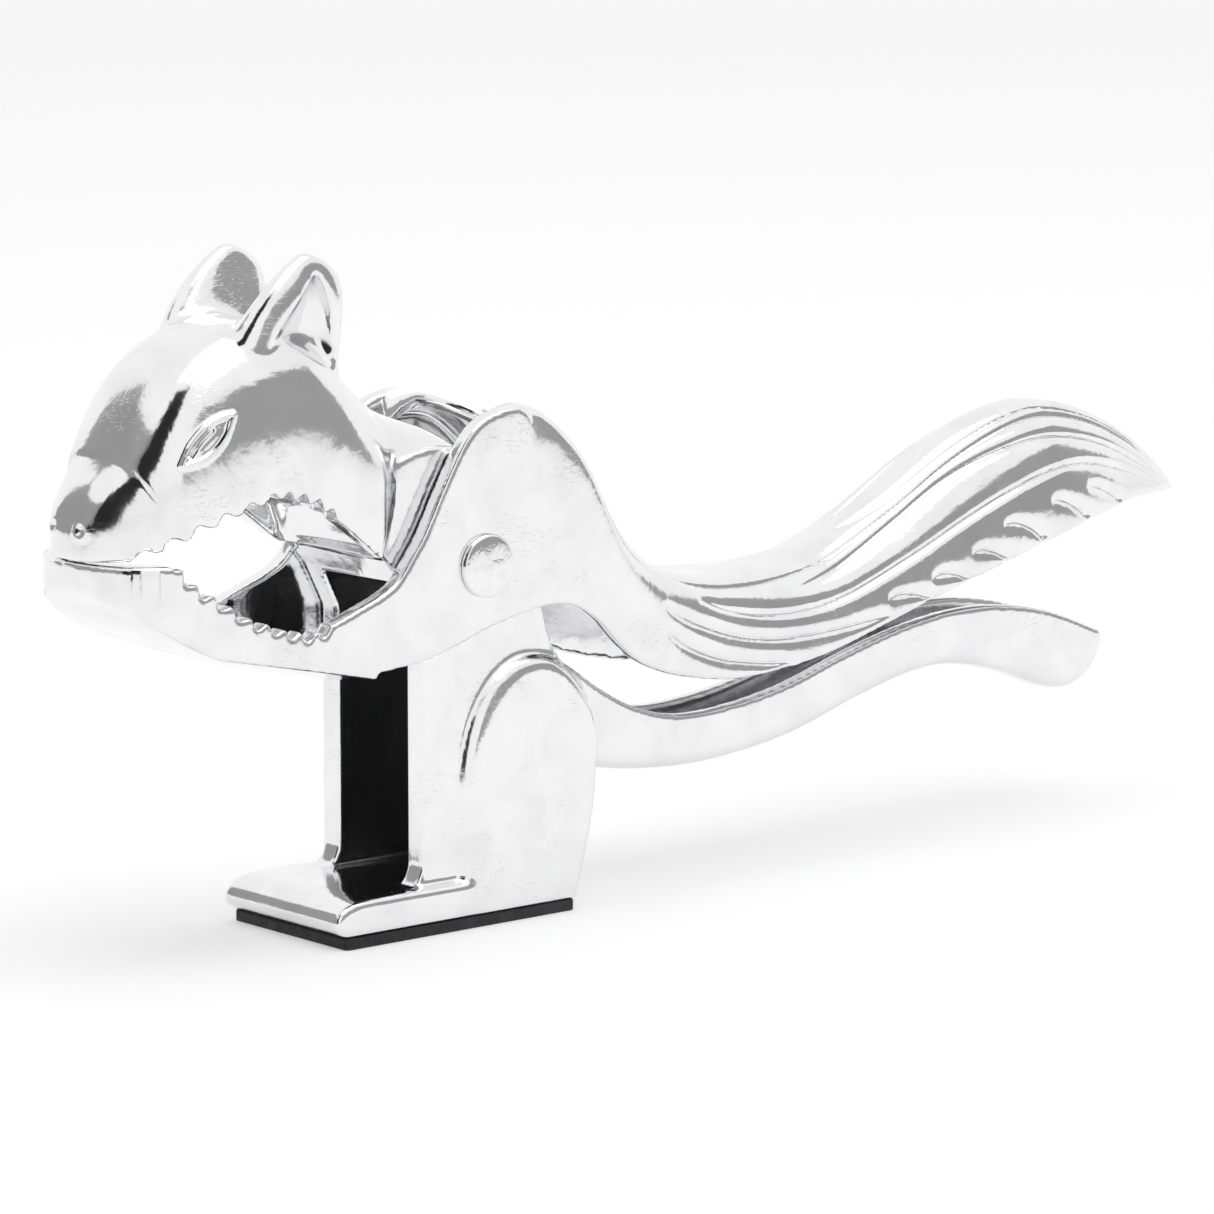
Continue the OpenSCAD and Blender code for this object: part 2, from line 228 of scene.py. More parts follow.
def bothSides(points):
    # both sides are worked as if they were the near one
    return np.stack([points[:, 0], -np.abs(points[:, 1]), points[:, 2]], 1)


def refine(obj, lines, reach):
    # smaller cells near the lines, so that what is worked there comes out sharp
    bm = bmesh.new()
    bm.from_mesh(obj.data)
    points = bothSides(coords(obj.data))
    low = np.min([np.min(l, axis=0) for l in lines], axis=0) - reach
    high = np.max([np.max(l, axis=0) for l in lines], axis=0) + reach
    near = np.nonzero(np.all((points > low) & (points < high), axis=1))[0]
    gap = np.min([toLine(points[near], l)[0] for l in lines], axis=0)
    close = set(near[gap < reach].tolist())
    bm.verts.ensure_lookup_table()
    edges = [e for e in bm.edges if e.verts[0].index in close and e.verts[1].index in close]
    bmesh.ops.subdivide_edges(bm, edges=edges, cuts=1, use_grid_fill=True)
    bm.to_mesh(obj.data)
    bm.free()
    return obj


def normals(mesh):
    n = np.empty(len(mesh.vertices) * 3, np.float32)
    mesh.vertex_normals.foreach_get("vector", n)
    return n.reshape(-1, 3).astype(float)


def push(obj, amount):
    # moves each vertex along its normal by amount(points)
    points = coords(obj.data)
    moved = points + normals(obj.data) * amount(bothSides(points))[:, None]
    obj.data.vertices.foreach_set("co", moved.ravel())
    obj.data.update()


def thin(obj, most):
    triangles = sum(len(p.vertices) - 2 for p in obj.data.polygons)
    if triangles > most:
        bake(obj, "DECIMATE", ratio=most / triangles)
    return obj


def markPaintedShade(obj, reach=26, rays=14):
    # how shut in each point is, kept as the amount of painted shade in the hollows and folds
    bm = bmesh.new()
    bm.from_mesh(obj.data)
    tree = BVHTree.FromBMesh(bm)
    bm.free()
    turns = []
    for k in range(rays):
        z = 1 - (k + 0.5) / rays
        r = math.sqrt(1 - z * z)
        turns.append((r * math.cos(k * 2.39996), r * math.sin(k * 2.39996), z))
    value = np.zeros(len(obj.data.vertices), np.float32)
    facing = normals(obj.data)
    for i, v in enumerate(obj.data.vertices):
        n = Vector(facing[i])
        side = n.orthogonal().normalized()
        other = n.cross(side)
        start = v.co + n * 0.05
        hits = 0
        for a, b, c in turns:
            if tree.ray_cast(start, side * a + other * b + n * c, reach)[0] is not None:
                hits += 1
        value[i] = hits / rays
    ends = np.array([e.vertices[:] for e in obj.data.edges])
    for _ in range(4):
        total, count = value.copy(), np.ones(len(value))
        np.add.at(total, ends[:, 0], value[ends[:, 1]])
        np.add.at(total, ends[:, 1], value[ends[:, 0]])
        np.add.at(count, ends[:, 0], 1)
        np.add.at(count, ends[:, 1], 1)
        value = (total / count).astype(np.float32)
    obj.data.attributes.new("cored", "FLOAT", "POINT").data.foreach_set("value", value)


def finishPiece(obj, body, node, material):
    obj.data.transform(toMetres)
    obj.data.materials.clear()
    obj.data.materials.append(material)
    for p in obj.data.polygons:
        p.use_smooth = True
    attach(obj, body)
    if node:
        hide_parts(node)
    print(obj.name, sum(len(p.vertices) - 2 for p in obj.data.polygons), "triangles")
    return obj


# Materials

def socket(group, name, kind, way, value=None):
    made = group.interface.new_socket(name=name, in_out=way, socket_type=kind)
    if value is not None:
        made.default_value = value
    return made


def joined(tree, kind, **inputs):
    node = tree.nodes.new(kind)
    for name, value in inputs.items():
        target = node.inputs[int(name[1:])] if name[0] == "i" and name[1:].isdigit() \
            else node.inputs[name.replace("_", " ")]
        if isinstance(value, bpy.types.NodeSocket):
            tree.links.new(value, target)
        else:
            target.default_value = value
    return node


def maths(tree, operation, a, b=0.0):
    node = joined(tree, "ShaderNodeMath", i0=a, i1=b)
    node.operation = operation
    return node.outputs[0]


def ramp(tree, value, low, high, first=0.0, last=1.0):
    node = joined(tree, "ShaderNodeMapRange", Value=value, From_Min=low, From_Max=high,
                  To_Min=first, To_Max=last)
    node.interpolation_type = "SMOOTHSTEP"
    return node.outputs["Result"]


def castWear():
    # soft mottling of the polish, fine scuffs in patches, and a height for both
    group = bpy.data.node_groups.new("castWear", "ShaderNodeTree")
    socket(group, "Mottle Size", "NodeSocketFloat", "INPUT", 140)
    socket(group, "Scuff Size", "NodeSocketFloat", "INPUT", 900)
    socket(group, "Mottle", "NodeSocketFloat", "OUTPUT")
    socket(group, "Scuffs", "NodeSocketFloat", "OUTPUT")
    socket(group, "Height", "NodeSocketFloat", "OUTPUT")
    entry = group.nodes.new("NodeGroupInput")
    leave = group.nodes.new("NodeGroupOutput")
    place = group.nodes.new("ShaderNodeTexCoord").outputs["Object"]
    mottle = joined(group, "ShaderNodeTexNoise", Vector=place, Scale=entry.outputs["Mottle Size"],
                    Detail=4.0, Roughness=0.55, Distortion=0.4).outputs["Fac"]
    patches = joined(group, "ShaderNodeTexNoise", Vector=place, Scale=95.0, Detail=2.0).outputs["Fac"]
    drawn = joined(group, "ShaderNodeMapping", Vector=place, Rotation=(0.3, 0.5, 0.9),
                   Scale=(1.0, 1.0, 7.0)).outputs[0]
    streaks = joined(group, "ShaderNodeTexNoise", Vector=drawn, Scale=entry.outputs["Scuff Size"],
                     Detail=3.0, Roughness=0.7).outputs["Fac"]
    scuffs = maths(group, "MULTIPLY", ramp(group, streaks, 0.55, 0.75), ramp(group, patches, 0.5, 0.68))
    height = maths(group, "ADD", mottle, maths(group, "MULTIPLY", scuffs, -0.08))
    for name, value in (("Mottle", mottle), ("Scuffs", scuffs), ("Height", height)):
        group.links.new(value, leave.inputs[name])
    return group


wearGroup = castWear()


def wearNode(tree, mottleSize, scuffSize):
    node = tree.nodes.new("ShaderNodeGroup")
    node.node_tree = wearGroup
    node.inputs["Mottle Size"].default_value = mottleSize
    node.inputs["Scuff Size"].default_value = scuffSize
    return node


plating = {
    "bright": (0.88, 0.88, 0.885, 1),
    "soft": (0.82, 0.82, 0.83, 1),
    # dark grey of the painted shade in the hollows
    "paintedShadeTone": (0.27, 0.27, 0.275, 1),
    "polish": 0.07,
    "scuffed": 0.26,
    "ripple": 0.00028,
}


def platedCasting(name, mottleSize=130.0, scuffSize=900.0, cored=True):
    material = bpy.data.materials.new(name)
    material.use_nodes = True
    tree = material.node_tree
    shader = tree.nodes["Principled BSDF"]
    wear = wearNode(tree, mottleSize, scuffSize)
    tone = joined(tree, "ShaderNodeMix", i0=ramp(tree, wear.outputs["Mottle"], 0.35, 0.7))
    tone.data_type = "RGBA"
    tone.inputs[6].default_value = plating["bright"]
    tone.inputs[7].default_value = plating["soft"]
    colour = tone.outputs[2]
    rough = maths(tree, "ADD", plating["polish"],
                  maths(tree, "MULTIPLY", wear.outputs["Scuffs"], plating["scuffed"]))
    rough = maths(tree, "ADD", rough, maths(tree, "MULTIPLY", wear.outputs["Mottle"], 0.1))
    # painted shade: the colour is darkened towards a dark grey where the point is shut in, standing in for
    # shade in hollows; those places are also made rougher
    if cored:
        paintedShadeInput = tree.nodes.new("ShaderNodeAttribute")
        paintedShadeInput.attribute_name = "cored"
        paintedShadeMask = ramp(tree, paintedShadeInput.outputs["Fac"], 0.5, 0.82)
        paintedShadeMix = joined(tree, "ShaderNodeMix", i0=paintedShadeMask)
        paintedShadeMix.data_type = "RGBA"
        tree.links.new(colour, paintedShadeMix.inputs[6])
        paintedShadeMix.inputs[7].default_value = plating["paintedShadeTone"]
        colour = paintedShadeMix.outputs[2]
        rough = maths(tree, "ADD", rough, maths(tree, "MULTIPLY", paintedShadeMask, 0.3))
    tree.links.new(colour, shader.inputs["Base Color"])
    tree.links.new(rough, shader.inputs["Roughness"])
    shader.inputs["Metallic"].default_value = 1.0
    bump = joined(tree, "ShaderNodeBump", Strength=0.5, Distance=plating["ripple"],
                  Height=wear.outputs["Height"])
    tree.links.new(bump.outputs[0], shader.inputs["Normal"])
    return material


castingFinish = platedCasting("platedCasting")
rivetFinish = platedCasting("platedRivet", mottleSize=420.0, scuffSize=1500.0, cored=False)


def rubberFinish():
    material = bpy.data.materials.new("blackRubber")
    material.use_nodes = True
    tree = material.node_tree
    shader = tree.nodes["Principled BSDF"]
    place = tree.nodes.new("ShaderNodeTexCoord").outputs["Object"]
    fine = joined(tree, "ShaderNodeTexNoise", Vector=place, Scale=1400.0, Detail=3.0).outputs["Fac"]
    dust = joined(tree, "ShaderNodeTexNoise", Vector=place, Scale=160.0, Detail=3.0).outputs["Fac"]
    tone = joined(tree, "ShaderNodeMix", i0=ramp(tree, dust, 0.45, 0.8))
    tone.data_type = "RGBA"
    tone.inputs[6].default_value = (0.016, 0.016, 0.018, 1)
    tone.inputs[7].default_value = (0.05, 0.05, 0.052, 1)
    tree.links.new(tone.outputs[2], shader.inputs["Base Color"])
    tree.links.new(ramp(tree, fine, 0.3, 0.7, 0.5, 0.68), shader.inputs["Roughness"])
    bump = joined(tree, "ShaderNodeBump", Strength=0.35, Distance=0.0003, Height=fine)
    tree.links.new(bump.outputs[0], shader.inputs["Normal"])
    return material


padFinish = rubberFinish()
print("finishes made")

# Head, neck, legs, foot and lower handle: one casting

head = {
    "crown": [[-60.4, 4], [-61, 8], [-60.6, 11.5], [-58.9, 15], [-55.8, 18.8], [-53.8, 22.4],
              [-51, 27], [-47.4, 31.2], [-43, 34.4], [-37.5, 36.6], [-31, 37.2], [-24, 34],
              [-18, 28.6], [-13, 24.6], [-7, 21.4], [0, 19], [5, 16.4], [9, 13]],
    "half": [[-61, 2.2], [-60.2, 4.6], [-58, 7], [-54, 9.8], [-48, 12.6], [-38, 14.4], [-30, 14.8],
             [-22, 14.6], [-16, 13.4], [-11, 11.7], [0, 11.7], [12, 11.7]],
    "turn": [[-61, 7], [-56, 8.4], [-44, 11.5], [-30, 14], [-14, 12], [0, 8], [12, 2]],
    "upperBite": [[-25.2, 11.1], [-28.3, 12.8], [-31.8, 13.9], [-35.3, 14.1], [-40, 12.8],
                  [-45, 11.2], [-50, 9.2], [-54, 7.4]],
    "teeth": 9,
    "toothHeight": 1.4,
    "squareness": 3.1,
    "low": -10.0,         # where the flat underside of the blank lies
    "flat": 0.35,         # share of the ring, in radians, that runs straight down each side
}


def headBlank():
    crown, half, turn = (reading(head[k]) for k in ("crown", "half", "turn"))
    low, flat = head["low"], head["flat"]

    def shape(u, v):
        x = -61 + 71.0 * v ** 1.7       # stations crowd towards the blunt snout
        w, z = float(half(x)), float(turn(x))
        if x > -11:
            w = min(w, common["cheekY"])
        h = max(float(crown(x)) - z, 0.8)
        if u > 0.9:
            return Vector((x, w * (1 - 2 * (u - 0.9) / 0.1), low))
        a = math.pi * u / 0.9
        if a < flat or a > math.pi - flat:
            side = -1 if a < flat else 1
            t = (a if a < flat else math.pi - a) / flat
            return Vector((x, side * w, low + (z - low) * t))
        s = (a - flat) / (math.pi - 2 * flat) * math.pi
        e = 2 / (2.0 + (head["squareness"] - 2) * min(1, max(0, (-8 - x) / 20)))
        c, n = -math.cos(s), math.sin(s)
        return Vector((x, w * math.copysign(abs(c) ** e, c), z + h * n ** e))
    return sweep(shape, 120, 150)


ears = {
    "front": [[24, -41], [31, -40.5], [34, -38.5], [38, -36], [42, -32.5], [45, -29], [46.2, -26.5]],
    "back": [[24, -20.5], [30, -20], [36, -19.5], [42, -20], [45, -22.5], [46.2, -25.5]],
    "centreY": [[24, -8], [33, -8], [40, -9], [46.2, -9]],
    "halfY": [[24, 4.5], [31, 4], [36, 3.5], [41, 2.5], [45, 1.5], [46.2, 1]],
    "rim": 2.0,
}


def earPair():
    front, back, centre, half = (reading(ears[k]) for k in ("front", "back", "centreY", "halfY"))

    def outer(u, v):
        z = 24 + 22.3 * v
        a = 2 * math.pi * u
        mid, reach = (front(z) + back(z)) / 2, (back(z) - front(z)) / 2
        c, s = math.cos(a), math.sin(a)
        return Vector((mid + reach * math.copysign(abs(c) ** 0.75, c),
                       centre(z) + half(z) * math.copysign(abs(s) ** 0.85, s), z))

    def scoop(u, v):
        z = 22 + 22.0 * v
        a = 2 * math.pi * u
        left = float(front(z)) + ears["rim"] + 1.4
        right = float(back(z)) - ears["rim"]
        close = max(1 - v ** 6, 0.02)
        mid, reach = (left + right) / 2, max((right - left) / 2, 0.3) * close
        deep = float(centre(z)) - float(half(z)) * 0.55
        c, s = math.cos(a), math.sin(a)
        # the hollow is deeper towards the back edge
        across = (5.0 + 2.2 * c) * math.copysign(abs(s) ** 0.8, s)
        return Vector((mid + reach * c, deep - 3.4 + across, z))

    ear = asObject(sweep(outer, 48, 44), "ear")
    cut(ear, sweep(scoop, 40, 30))
    bm = bmesh.new()
    bm.from_mesh(ear.data)
    bpy.data.objects.remove(ear)
    return mirrored(bm)


stand = {
    "recess": [[-15.5, 2.2], [-14, 6.5], [-12.8, 11], [-12, 15], [-11.6, 18.5], [-12.4, 23], [-12.4, 30]],
    "cheekTop": [[-15, 14], [-9, 16.8], [-3, 17.2], [3, 15.8], [8, 12], [11, 6], [13, 0]],
    "legBack": [[15, -7.6], [16.2, -12], [18.2, -15.6], [22.2, -19.4], [24, -24.5], [24, -31],
                [23, -40], [19.8, footLow]],
    "haunchBase": [[-1.2, -47], [-1.5, -38], [-1.1, -30], [0.8, -23], [4.4, -17.6], [9.2, -14.7],
                   [14.4, -14.7], [18.6, -16.8], [22, -20.8], [23.8, -25.6], [24.1, -31], [23, -40],
                   [19.8, footLow]],
    "haunchTop": [[1.6, -47], [1.5, -38], [1.9, -31], [3.6, -24.2], [6.5, -19.5], [10.2, -16.9],
                  [14.2, -16.6], [17.8, -18.4], [21, -22], [23.1, -26.3], [23.5, -31], [22.5, -40],
                  [19.4, footLow]],
    "legFront": -7.6,
    "footHalf": 13.6,
    "toe": -23.0,
    "heel": 19.8,
    "footTop": -46.2,
}

grip = {
    "rim": [[17, -14.2], [24.2, -18], [31, -22.6], [38, -26.2], [46.5, -28.3], [57, -28],
            [68, -26.2], [80, -22.8], [92, -20], [103, -18.6], [113, -18.9], [124, -21], [135.5, -25.4]],
    "under": [[20, -31], [32, -35], [46, -36.6], [58, -36.2], [70.5, -34.3], [84, -30.4],
              [95, -27.9], [104, -27.6], [114, -29.8], [124, -33.4], [129, -34.2], [132.5, -33],
              [134.8, -30], [135.4, -26.6]],
    "half": 6.0,
    "wall": 2.3,
    "depth": 5.0,
}


def gripBlank():
    rim, under = reading(grip["rim"]), reading(grip["under"])

    def shape(u, v):
        x = 20 + 115.4 * (1 - (1 - v) ** 1.4)
        top, low = float(rim(x)), float(under(x))
        low = min(low, top - 0.4)
        if u < 0.15:
            return Vector((x, grip["half"] * (1 - 2 * u / 0.15), top))
        a = math.pi * (u - 0.15) / 0.85
        c, s = math.cos(a), math.sin(a)
        across = -grip["half"] * math.copysign(abs(c) ** 0.36, c)
        return Vector((x, across, top - (top - low) * s ** 0.36))
    return sweep(shape, 80, 170)


def haunch():
    base, top = smoothLine(stand["haunchBase"], 6), smoothLine(stand["haunchTop"], 6)
    base.append([-1.2, footLow])
    top.append([2.6, footLow])

    def shape(u, v):
        k = int(round(u * len(base))) % len(base)
        p, q = base[k], top[k]
        sink = 1 - math.cos(v * math.pi / 2) ** 1.2
        rise = math.sin(v * math.pi / 2) ** 0.9
        return Vector((p[0] + (q[0] - p[0]) * sink, -(11.2 + 2.4 * rise), p[1] + (q[1] - p[1]) * sink))
    return mirrored(sweep(shape, len(base), 9))


def bodyCasting():
    cheekY, hollowY, outY = common["cheekY"], common["hollowY"], common["leverOutY"]
    crownSkin = gather("bodyCastingShell", headBlank(), earPair())
    melt(crownSkin, 0.5, 7)
    # mouth line, then the room above the nut
    bite = teethLine(head["upperBite"], head["teeth"], head["toothHeight"])
    below = [[-15.5, 2.2], [-24.8, 9.2]] + bite + [[-56, 5.6], [-64, 5.4], [-64, -30], [14, -30],
             [14, 8], [8.6, 8], [-2, 2.2]]
    cut(crownSkin, plate(below, -20, 20))
    core = smoothLine([[-52, 3], [-49, 10.4], [-43, 15.4], [-36, 17.6], [-29, 16.8], [-24, 13.4]], 8) \
        + [[-17.2, 8.2], [-12, -6], [-40, -6]]
    cut(crownSkin, plate(core, -outY + 3.6, outY - 3.6, 1.2))
    recess = smoothLine(stand["recess"], 8) + [[40, 30], [40, 2]]
    cut(crownSkin, plate(recess, cheekY, 22))
    cut(crownSkin, plate(recess, -22, -cheekY))
    throat = [[-17, 2], [-8, 3], [-8, 18.6], [12, 12], [12, -5], [-17, -5]]
    cut(crownSkin, plate(throat, -hollowY, hollowY, 0.8))

    front, top = stand["legFront"], stand["footTop"]
    legSide = [[front - 1.6, top], [front - 0.5, top + 1.3], [front, top + 3], [front, -8],
               [-10.8, -1.6], [-16, 4]] + smoothLine(stand["cheekTop"], 8) \
        + smoothLine(stand["legBack"], 8) + [[front - 1.6, footLow]]
    legs = asObject(plate(legSide, -cheekY, cheekY, 0.35), "legs")
    cut(legs, plate([[-9.4, 3.4], [-13.2, 9.6], [-10, 18], [0, 18], [5, 14], [6.4, 6], [5, 0]],
                    -hollowY, hollowY, 0.8))
    cut(legs, plate([[-14, top], [-14, -1.6], [-8.2, -2.4], [8, -4], [11.4, -8], [12.6, -12],
                     [16, -17], [19.6, -22], [20.4, -30], [18.6, top]], -hollowY, hollowY))
    web = plate([[-17.2, 8.2], [-10.8, -1.6], [-8.2, -0.8], [-10.4, 8], [-13.8, 13.2]],
                -hollowY - 0.3, hollowY + 0.3)
    toe, heel = stand["toe"], stand["heel"]
    foot = plate(smoothLine([[toe + 0.4, footLow], [toe - 1.1, footLow + 1], [toe - 1.55, footLow + 2.3],
                             [toe - 0.7, footLow + 3.9], [toe + 1.6, top - 0.3], [toe + 4.6, top]], 6)
                 + [[heel - 1, top], [heel, footLow]], -stand["footHalf"], stand["footHalf"], 0.9, 4)
    channel = asObject(gripBlank(), "grip")
    rim = [p for p in smoothLine(grip["rim"], 8) if 26 < p[0] < 135.5 - grip["wall"]]
    cut(channel, plate([[26, -10], [133, -14]] + [[x, z - grip["depth"]] for x, z in reversed(rim)],
                       -grip["half"] + grip["wall"], grip["half"] - grip["wall"], 0.9))
    body = gather("bodyCasting", crownSkin, legs, web, foot, haunch(), channel)
    return melt(body, common["grain"], 3)


eye = {
    "upper": [[-49.4, 18.8], [-48.0, 21.4], [-45.8, 23.7], [-43.4, 25.0], [-41.5, 25.3]],
    "lower": [[-49.4, 18.8], [-46.9, 19.3], [-44.6, 20.7], [-42.8, 22.8], [-41.5, 25.3]],
    "pupil": [[-48.3, 20.2], [-47.0, 21.9], [-45.2, 23.4]],
    "middle": [[-46.8, 20.8], [-44, 23.2]],
    "rimHeight": 0.55,
    "rimWidth": 0.42,
}

brow = {
    "heights": [12, 15, 18, 20, 23],
    "step": [-51.6, -53.0, -54.4, -55.0, -54.4],
    "drop": 0.36,         # the snout lies this much under the forehead
}

nostril = {"place": (-60.1, -3.0, 9.8), "rim": 1.1}


def onSurface(tree, line):
    # side view points carried across to the near side of a piece
    found = []
    for x, z in line:
        hit = tree.ray_cast(Vector((x, -40, z)), Vector((0, 1, 0)))[0]
        if hit is not None:
            found.append(list(hit))
    return found


def bell(gap, width):
    return np.exp(-(gap / width) ** 2)


def workFace(body):
    bm = bmesh.new()
    bm.from_mesh(body.data)
    tree = BVHTree.FromBMesh(bm)
    bm.free()
    upper = onSurface(tree, smoothLine(eye["upper"], 5))
    lower = onSurface(tree, smoothLine(eye["lower"], 5))
    pupil = onSurface(tree, smoothLine(eye["pupil"], 4))
    middle = onSurface(tree, eye["middle"])
    refine(body, [upper, lower, pupil, middle], 1.7)
    refine(body, [upper, lower, pupil], 0.8)

    def features(p):
        out = np.zeros(len(p))
        rim = np.minimum(toLine(p, upper)[0], toLine(p, lower)[0])
        out += eye["rimHeight"] * bell(rim, eye["rimWidth"])
        out += 0.3 * bell(toLine(p, middle)[0], 1.1)
        out -= 0.6 * bell(toLine(p, pupil)[0], 0.4)
        ahead = np.interp(p[:, 2], brow["heights"], brow["step"]) - p[:, 0]
        fade = np.clip((p[:, 2] - 12.5) / 2.5, 0, 1) * (p[:, 0] < -48)
        out -= brow["drop"] * np.clip(ahead / 0.6, 0, 1) * np.exp(-np.maximum(ahead, 0) / 6) * fade
        gap = np.linalg.norm(p - np.array(nostril["place"]), axis=1)
        out += 0.3 * bell(gap - nostril["rim"], 0.4) - 0.4 * bell(gap, 0.7)
        return out
    push(body, features)


body = bodyCasting()
print("body cast")
workFace(body)
thin(body, common["mostTriangles"])
markPaintedShade(body)
finishPiece(body, "stand", "body_casting", castingFinish)

# Lever: lower jaw, side walls, shoulder and tail

jaw = {
    "lowerBite": [[-52.4, 4.6], [-49, 1.2], [-44.6, -1.6], [-40, -4.4], [-35.6, -6.2],
                  [-31.4, -7.4], [-27.4, -7.8]],
    "teeth": 9,
    "toothHeight": 1.4,
    "wallFront": [[-26, -5.7], [-21.5, -4], [-17.5, -2.6], [-14.2, -0.8], [-11.7, 2.2], [-9.2, 5.6],
                  [-6.6, 10.3], [-3.8, 15.1], [-1.6, 18.3], [1.2, 20.8], [4.8, 22], [8.2, 22.4]],
    "wallLow": [[8.2, -7.8], [2, -9.3], [-4, -11.3], [-10.3, -12.8], [-17.9, -13.4]],
    "keel": [[-17.9, -14.6], [-25, -14.3], [-34, -12.4], [-44, -9], [-52, -5], [-57, -1.2],
             [-60, 1], [-60.8, 3], [-60.8, 5.2]],
    "half": [[-60.4, 0], [-59.8, 5], [-58, 9.5], [-55.6, 12], [-52.2, 13.3], [-46, 13.7], [-40, 14],
             [-28, 14.6], [-18, 14.8], [60, 14.8]],
    "wallFrom": -17.9,    # the side walls take over from the jaw here
    "hull": 62.0,         # radius of the bellied underside
    "slope": math.atan2(7, 32),
    "floor": 2.8,
    "wall": 2.8,
    "slotX": 4.7,         # centre of the round opening over the neck
}

tail = {
    "crest": [[4.8, 22.1], [8.2, 22.6], [12, 22], [15.5, 20], [19, 16.8], [22.4, 12.4], [26, 6.6], [30, 1.8],
              [35, -2.2], [41, -5.2], [48, -6.8], [56, -7.6], [65, -7.6], [76, -6], [88, -0.8],
              [100, 6], [110, 10.2], [119, 12.4], [127, 12], [136, 9.6], [145, 5.2], [152, 0],
              [156.5, -4.6]],
    "rim": [[4.8, -8.4], [8.2, -7.8], [13.7, -7.1], [18.4, -7.6], [23, -10.2], [27, -14], [31.5, -17.4],
            [37, -19.8], [43, -21.4], [51, -22.7], [60.5, -22.6], [72, -20.8], [84.5, -17.4],
            [97, -13.8], [108, -11], [120, -8.2], [132, -6], [144, -4.6], [156.5, -5.2]],
    "half": [[8.2, 14.8], [24, 14.8], [34, 13.8], [46, 12.6], [60, 12], [80, 12.3], [104, 12.5],
             [120, 11.6], [134, 9], [145, 5.8], [152, 3.2], [156.5, 0.9]],
    "square": [[8.2, 14], [20, 14], [30, 7], [50, 4], [80, 2.4], [157, 2]],
    "wall": 2.5,
    "from": 4.8,
    "to": 156.2,
    # locks of hair: where each parting runs, x and share of the height from rim to crest
    "partings": [
        [[80, 1.0], [97, 0.965], [114, 0.96], [126, 0.955], [140, 0.92], [151, 0.8]],
        [[34, 0.98], [42, 0.93], [50, 0.9], [62, 0.9], [82, 0.93], [97, 0.915], [114, 0.91],
         [126, 0.9], [136, 0.87], [144, 0.8], [152, 0.62]],
        [[66, 0.76], [74, 0.82], [84, 0.86], [97, 0.86], [114, 0.79], [128, 0.73], [137, 0.66],
         [145, 0.54], [151, 0.4]],
        [[45, 0.77], [51, 0.68], [59, 0.6], [69, 0.54], [86, 0.52], [98, 0.5], [118, 0.51],
         [130, 0.5], [141, 0.38], [149, 0.22]],
        [[37, 0.63], [47, 0.5], [55, 0.39], [63, 0.31], [73, 0.22], [84, 0.08]],
        [[37, 0.43], [42, 0.31], [49, 0.21], [56, 0.14], [64, 0.04]],
    ],
    # short nicks that run out over the rim
    "nicks": [[128, 0.31], [118.5, 0.3], [107.5, 0.3], [100.5, 0.22], [92, 0.21], [83, 0.26]],
    "partingDepth": 0.8,
    "nickDepth": 0.75,
}

crestAt, rimAt, halfAt, squareAt = (reading(tail[k]) for k in ("crest", "rim", "half", "square"))


def archPoint(x, a, inset=0.0):
    # a point of the arched section at x, a radians up from the near rim
    w = max(float(halfAt(x)) - inset, 0.3)
    b = float(rimAt(x))
    h = max(float(crestAt(x)) - inset * 1.02 - b, 0.3)
    e = 2 / float(squareAt(x))
    c, s = math.cos(a), math.sin(a)
    return Vector((x, -w * math.copysign(abs(c) ** e, c), b + h * abs(s) ** e))


def tailShell():
    start, end = tail["from"], tail["to"]

    def outer(u, v):
        x = start + (end - start) * v
        if u > 0.86:
            t = (u - 0.86) / 0.14
            return archPoint(x, math.pi).lerp(archPoint(x, 0), t)
        return archPoint(x, math.pi * u / 0.86)

    def inner(u, v):
        x = start - 4 + (end - 1.6 - start + 4) * v
        flat = max(x, start)
        if u > 0.8:
            t = (u - 0.8) / 0.2
            far, near = archPoint(flat, math.pi, tail["wall"]), archPoint(flat, 0, tail["wall"])
            p = far.lerp(near, min(max((t - 0.15) / 0.7, 0), 1))
            p.z -= 8 * min(1, min(t, 1 - t) / 0.15)
        else:
            p = archPoint(flat, math.pi * u / 0.8, tail["wall"])
        p.x = x
        return p

    shell = asObject(sweep(outer, 130, 300), "tailShell")
    melt(shell, 0.5, 4)
    cut(shell, sweep(inner, 90, 160))
    return shell


def lowerJaw():
    outY = common["leverOutY"]
    wallFrom, floor, wall = jaw["wallFrom"], jaw["floor"], jaw["wall"]
    keel = smoothLine(jaw["keel"], 8)
    side = teethLine(jaw["lowerBite"], jaw["teeth"], jaw["toothHeight"]) \
        + [[-26, -5.7], [wallFrom, -2.8]] + keel + [[-52.4, 5.2]]
    whole = asObject(plate(side, -outY, outY), "lowerJaw")
    half = smoothLine(jaw["half"], 8)
    cut(whole, slab(half, -60, 60), "INTERSECT")
    lean = Matrix.Rotation(jaw["slope"], 4, "Y") @ Matrix.Rotation(math.pi / 2, 4, "Y")
    centre = (wallFrom, 0, -14.6 + jaw["hull"])
    cut(whole, pin(jaw["hull"], 100, centre, lean, 256), "INTERSECT")
    trough = asObject(pin(jaw["hull"] - floor, 100, centre, lean, 256), "trough")
    within = [[x + wall * 1.1, max(y - wall, 0)] for x, y in half if y > wall]
    cut(trough, slab(within, -60, 60), "INTERSECT")
    above = [[x, z + floor] for x, z in keel] + [[-58, 40], [-10, 40], [-10, -11.8]]
    cut(trough, plate(above, -30, 30), "INTERSECT")
    return cut(whole, trough)


